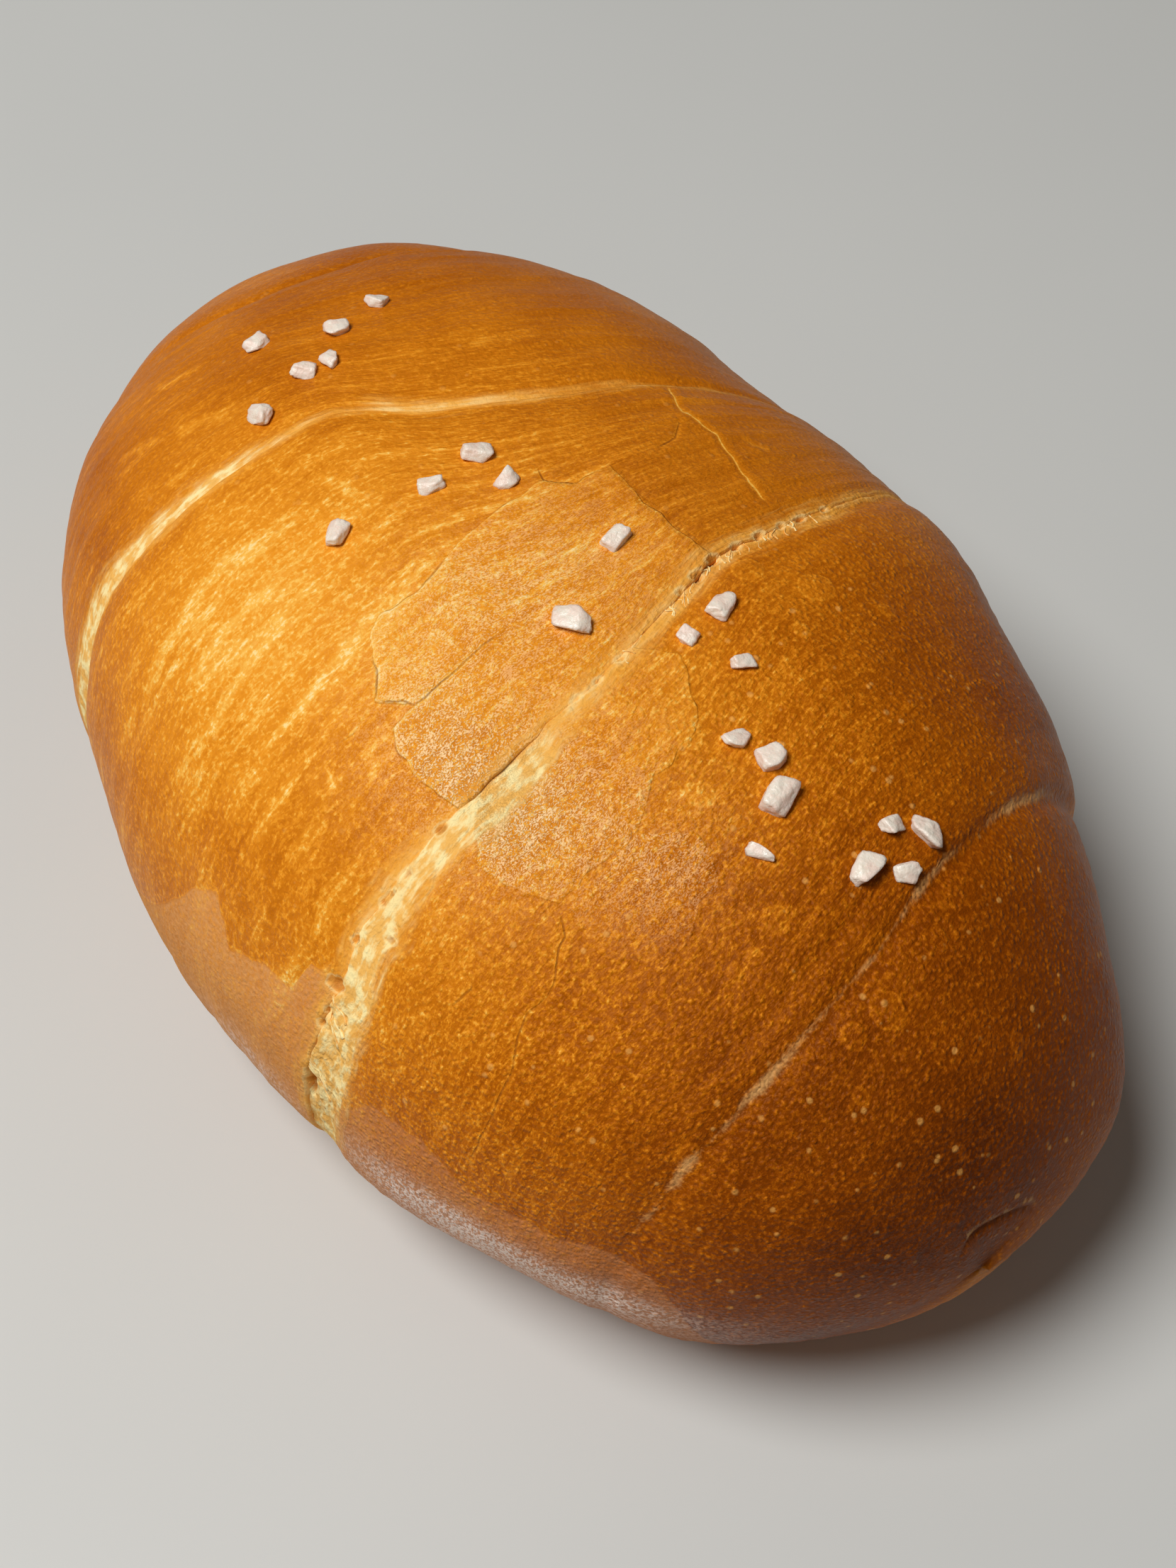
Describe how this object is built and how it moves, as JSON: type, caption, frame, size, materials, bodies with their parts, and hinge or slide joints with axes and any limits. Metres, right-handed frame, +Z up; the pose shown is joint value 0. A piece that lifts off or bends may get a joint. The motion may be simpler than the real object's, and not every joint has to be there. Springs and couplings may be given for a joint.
{
  "type": "salt bread roll",
  "caption": "Oval wound bread roll with a split, golden-brown crust, overlapping wraps that meet along slanting seams, coarse salt on the crest and a flat base to rest on.",
  "frame": {"origin": "middle of the flat base, on the surface the roll rests on", "axes": "+X along the roll towards the darker end, +Y across it, +Z up through the salted crest"},
  "size_m": [0.1199, 0.0782, 0.0518],
  "materials": {
    "crust": "satin golden-brown baked crust, darker at one end, paler where the crust has split",
    "crumb": "matt pale yellow bread crumb in the open seams",
    "salt": "cloudy white salt crystals"
  },
  "bodies": {
    "root": {"roll": "crust"}
  },
  "joints": []
}
